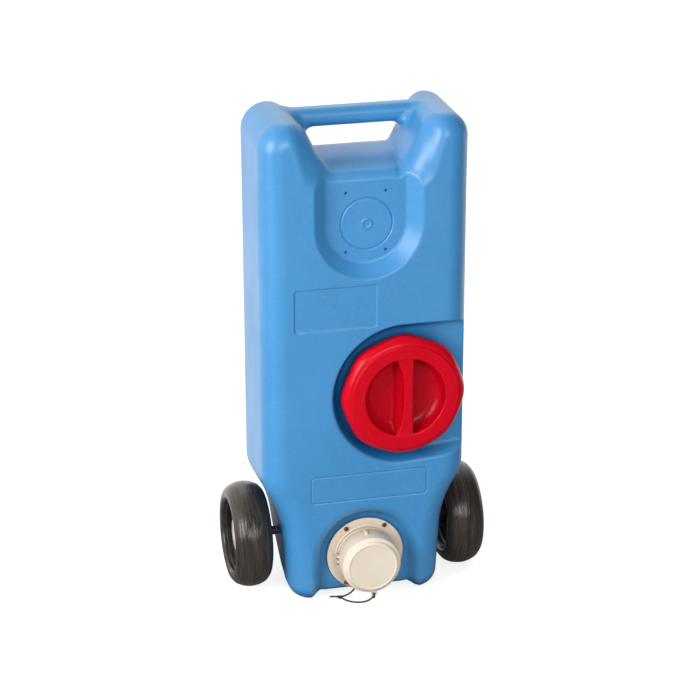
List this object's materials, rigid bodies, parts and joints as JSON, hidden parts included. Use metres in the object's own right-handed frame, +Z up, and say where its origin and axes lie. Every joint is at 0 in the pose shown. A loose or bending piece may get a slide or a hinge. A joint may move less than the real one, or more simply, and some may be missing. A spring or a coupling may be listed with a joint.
{
  "type": "portable waste tote",
  "caption": "Upright hollow waste-water tank with a top carry handle, rolling on side wheels, with a large screw filler cap and a tethered bayonet drain cap.",
  "frame": {"origin": "on the ground, under the middle of the whole object (feet and wheels stand on z = 0)", "axes": "+X to the right seen from the front, +Y to the back (the filler and drain caps face -Y), +Z up along the height"},
  "size_m": [0.428, 0.238, 0.823],
  "materials": {
    "tank_blue": "satin, fine moulded grain",
    "cap_red": "glossy",
    "drain_cream": "satin",
    "seal_rubber": "matt",
    "screw_steel": "dull, passivated",
    "cord_black": "braided",
    "tyre_black": "glossy moulded ring",
    "wheel_black": "satin",
    "hub_grey": "satin",
    "axle_steel": "zinc plated"
  },
  "bodies": {
    "tank": {"tank_body": "tank_blue", "drain_flange": "drain_cream", "flange_gasket": "seal_rubber", "flange_screws": "screw_steel", "axle": "axle_steel", "cord_flange_strand": "cord_black", "inner_spacer_left": "wheel_black", "outer_washer_left": "axle_steel", "axle_clip_left": "axle_steel", "inner_spacer_right": "wheel_black", "outer_washer_right": "axle_steel", "axle_clip_right": "axle_steel"},
    "wheel_left": {"tyre_left": "tyre_black", "wheel_centre_left": "wheel_black", "hub_cap_left": "hub_grey"},
    "wheel_right": {"tyre_right": "tyre_black", "wheel_centre_right": "wheel_black", "hub_cap_right": "hub_grey"},
    "fill_lift": {"fill_gasket": "seal_rubber"},
    "fill_cap_body": {"fill_cap": "cap_red"},
    "drain_pull": {"drain_cap_seal": "seal_rubber", "cord_knot": "cord_black", "cord_tail": "cord_black"},
    "drain_cap_body": {"drain_cap": "drain_cream", "cord_cap_strand": "cord_black"}
  },
  "joints": [
    {"name": "wheel_left_spin", "type": "hinge", "parent": "tank", "child": "wheel_left", "pos_m": [-0.18, 0.03, 0.089], "axis": [1, 0, 0], "continuous": true},
    {"name": "wheel_right_spin", "type": "hinge", "parent": "tank", "child": "wheel_right", "pos_m": [0.18, 0.03, 0.089], "axis": [1, 0, 0], "continuous": true},
    {"name": "fill_cap_lift", "type": "slide", "parent": "tank", "child": "fill_lift", "axis": [0, -1, 0], "range_m": [0, 0.0201]},
    {"name": "fill_cap_turn", "type": "hinge", "parent": "fill_lift", "child": "fill_cap_body", "pos_m": [0.059, -0.055, 0.363], "axis": [0, -1, 0], "range_deg": [0, 900]},
    {"name": "drain_cap_pull", "type": "slide", "parent": "tank", "child": "drain_pull", "axis": [0, -1, 0], "range_m": [0, 0.045]},
    {"name": "drain_cap_twist", "type": "hinge", "parent": "drain_pull", "child": "drain_cap_body", "pos_m": [0, -0.06, 0.075], "axis": [0, -1, 0], "range_deg": [0, 45]}
  ],
  "couplings": [
    {"joint": "fill_cap_lift", "follows": "fill_cap_turn", "m_per_rad": 0.0012732}
  ]
}
